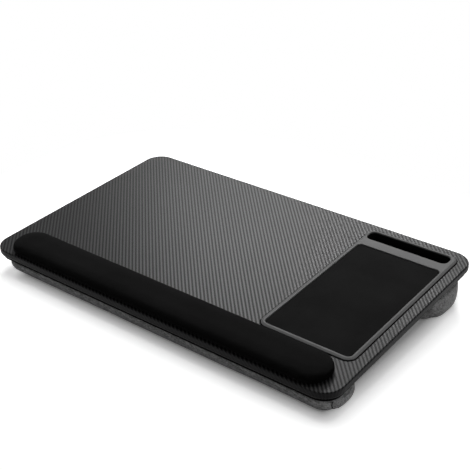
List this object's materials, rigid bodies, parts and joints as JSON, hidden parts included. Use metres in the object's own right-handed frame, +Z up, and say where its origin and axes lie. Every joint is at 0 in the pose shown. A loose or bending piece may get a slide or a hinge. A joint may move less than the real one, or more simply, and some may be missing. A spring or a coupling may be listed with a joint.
{
  "type": "lap tray with cushion",
  "caption": "Flat lap tray on a bolster cushion, with a padded wrist rest, an inset mouse pad and a device slot.",
  "frame": {"origin": "on the plane that the cushion rests on, under the middle of the tray", "axes": "+X to the user's right along the tray, +Y to the rear away from the user, +Z up"},
  "size_m": [0.572, 0.3535, 0.0605],
  "materials": {
    "board_core": "raw fibreboard, hidden by the film",
    "woven_film": "dark grey film with a printed diagonal weave, satin gloss",
    "backing_sheet": "matte",
    "insert_plastic": "fine matte texture",
    "liner_plastic": "dead black, rough",
    "gasket_rubber": "matte black",
    "tape": "plain",
    "pad_rubber": "matte",
    "pad_cloth": "fine smooth weave",
    "rest_base": "plain",
    "foam": "open foam",
    "rest_cloth": "smooth stretch cloth",
    "base_board": "matte",
    "screw_steel": "zinc plated",
    "bolster_fabric": "heather grey weave",
    "stuffing": "loose fibre"
  },
  "bodies": {
    "root": {"tray_board": "board_core", "carbon_film": "woven_film", "backing_sheet": "backing_sheet", "pad_and_slot_insert": "insert_plastic", "slot_liner": "liner_plastic", "insert_gasket": "gasket_rubber", "insert_tape": "tape", "mouse_pad_rubber": "pad_rubber", "mouse_pad_cloth": "pad_cloth", "wrist_rest_base": "rest_base", "wrist_rest_foam": "foam", "wrist_rest_cover": "rest_cloth", "cushion_base_board": "base_board", "base_board_screws": "screw_steel", "center_panel": "bolster_fabric", "front_bolster_cover": "bolster_fabric", "front_bolster_left_end": "bolster_fabric", "front_bolster_right_end": "bolster_fabric", "front_bolster_fill": "stuffing", "rear_bolster_cover": "bolster_fabric", "rear_bolster_left_end": "bolster_fabric", "rear_bolster_right_end": "bolster_fabric", "rear_bolster_fill": "stuffing"}
  },
  "joints": []
}
